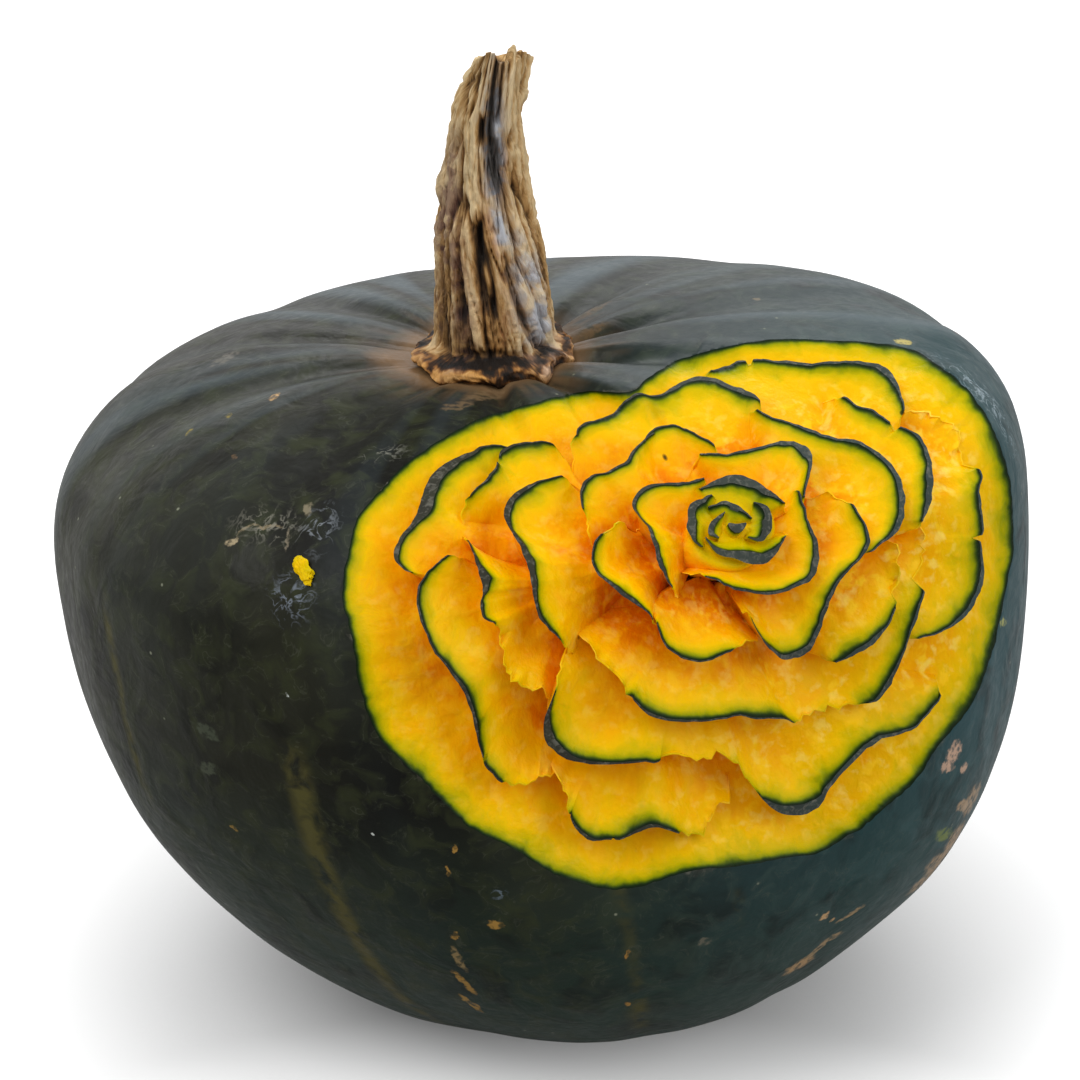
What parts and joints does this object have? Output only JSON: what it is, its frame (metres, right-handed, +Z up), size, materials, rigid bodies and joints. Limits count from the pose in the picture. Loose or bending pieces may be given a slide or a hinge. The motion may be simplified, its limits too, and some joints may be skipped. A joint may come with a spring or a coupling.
{
  "type": "carved buttercup squash",
  "caption": "Squat dark green winter squash with a corky stem, its shoulder carved into a rose that shows yellow-orange flesh.",
  "frame": {"origin": "middle of the flat patch that the fruit rests on", "axes": "+Z up, +X to the right of someone who faces the carved rose, and the rose on the -Y side"},
  "size_m": [0.1908, 0.1707, 0.1947],
  "materials": {
    "rind_and_flesh": "tough dark green-grey rind with a soft sheen; moist yellow to orange flesh where it is cut",
    "stem_cork": "dry fissured cork, tan ridges over dark brown hollows",
    "flesh": "moist yellow flesh"
  },
  "bodies": {
    "root": {"fruit": "rind_and_flesh", "stem": "stem_cork", "flesh_crumb": "flesh"}
  },
  "joints": []
}
